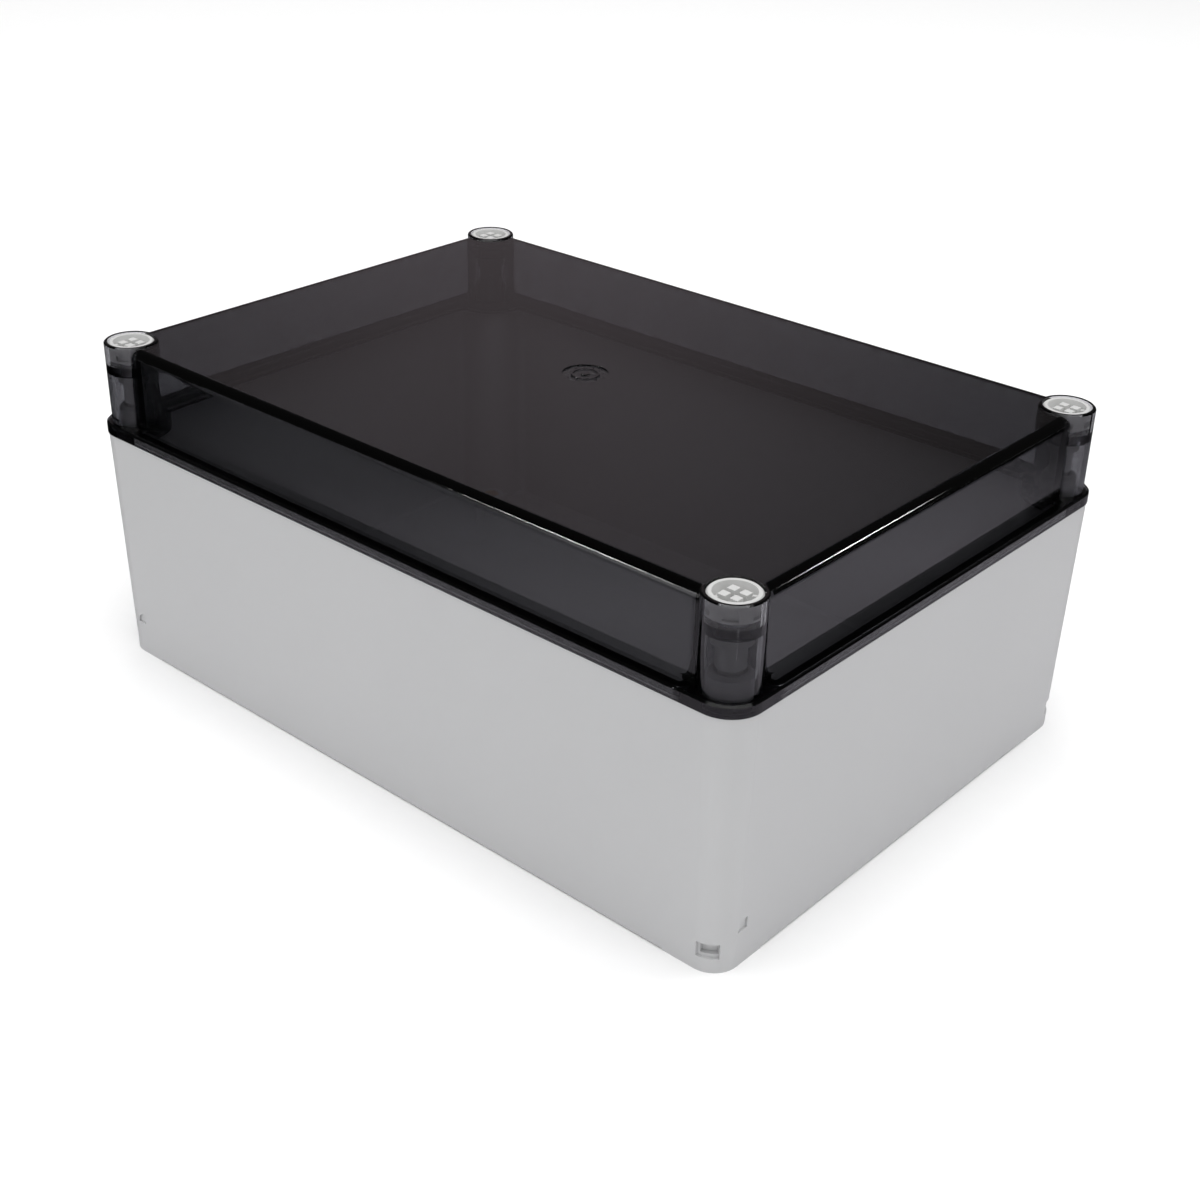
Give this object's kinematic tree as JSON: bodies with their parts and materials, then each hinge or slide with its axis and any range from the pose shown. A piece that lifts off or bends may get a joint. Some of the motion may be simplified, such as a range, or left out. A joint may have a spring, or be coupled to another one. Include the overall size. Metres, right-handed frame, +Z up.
{
  "type": "junction box",
  "caption": "Rectangular junction box: light grey tapered base, high smoked see-through lid with corner posts holding quarter-turn screws.",
  "frame": {"origin": "centre of the surface that the box stands on", "axes": "+X along the long side, +Y along the short side, +Z up through the lid"},
  "size_m": [0.254, 0.1762, 0.1069],
  "materials": {
    "base_grey": "fine satin",
    "lid_smoke": "polished, smoked, see-through",
    "screw_grey": "satin",
    "retainer_grey": "satin",
    "gasket_black": "matt",
    "insert_brass": "turned"
  },
  "bodies": {
    "base": {"base": "base_grey", "mounting_insert_front_right": "insert_brass", "mounting_insert_back_right": "insert_brass", "mounting_insert_back_left": "insert_brass", "mounting_insert_front_left": "insert_brass"},
    "lid": {"lid": "lid_smoke", "lid_gasket": "gasket_black"},
    "screw_front_right": {"lid_screw_front_right": "screw_grey", "screw_retainer_front_right": "retainer_grey"},
    "screw_back_right": {"lid_screw_back_right": "screw_grey", "screw_retainer_back_right": "retainer_grey"},
    "screw_back_left": {"lid_screw_back_left": "screw_grey", "screw_retainer_back_left": "retainer_grey"},
    "screw_front_left": {"lid_screw_front_left": "screw_grey", "screw_retainer_front_left": "retainer_grey"}
  },
  "joints": [
    {"name": "lid_lift", "type": "slide", "parent": "base", "child": "lid", "axis": [0, 0, 1], "range_m": [0, 0.06]},
    {"name": "screw_turn_front_right", "type": "hinge", "parent": "lid", "child": "screw_front_right", "pos_m": [0.11705, -0.07815, 0.1], "axis": [0, 0, 1], "range_deg": [0, 90]},
    {"name": "screw_turn_back_right", "type": "hinge", "parent": "lid", "child": "screw_back_right", "pos_m": [0.11705, 0.07815, 0.1], "axis": [0, 0, 1], "range_deg": [0, 90]},
    {"name": "screw_turn_back_left", "type": "hinge", "parent": "lid", "child": "screw_back_left", "pos_m": [-0.11705, 0.07815, 0.1], "axis": [0, 0, 1], "range_deg": [0, 90]},
    {"name": "screw_turn_front_left", "type": "hinge", "parent": "lid", "child": "screw_front_left", "pos_m": [-0.11705, -0.07815, 0.1], "axis": [0, 0, 1], "range_deg": [0, 90]}
  ]
}
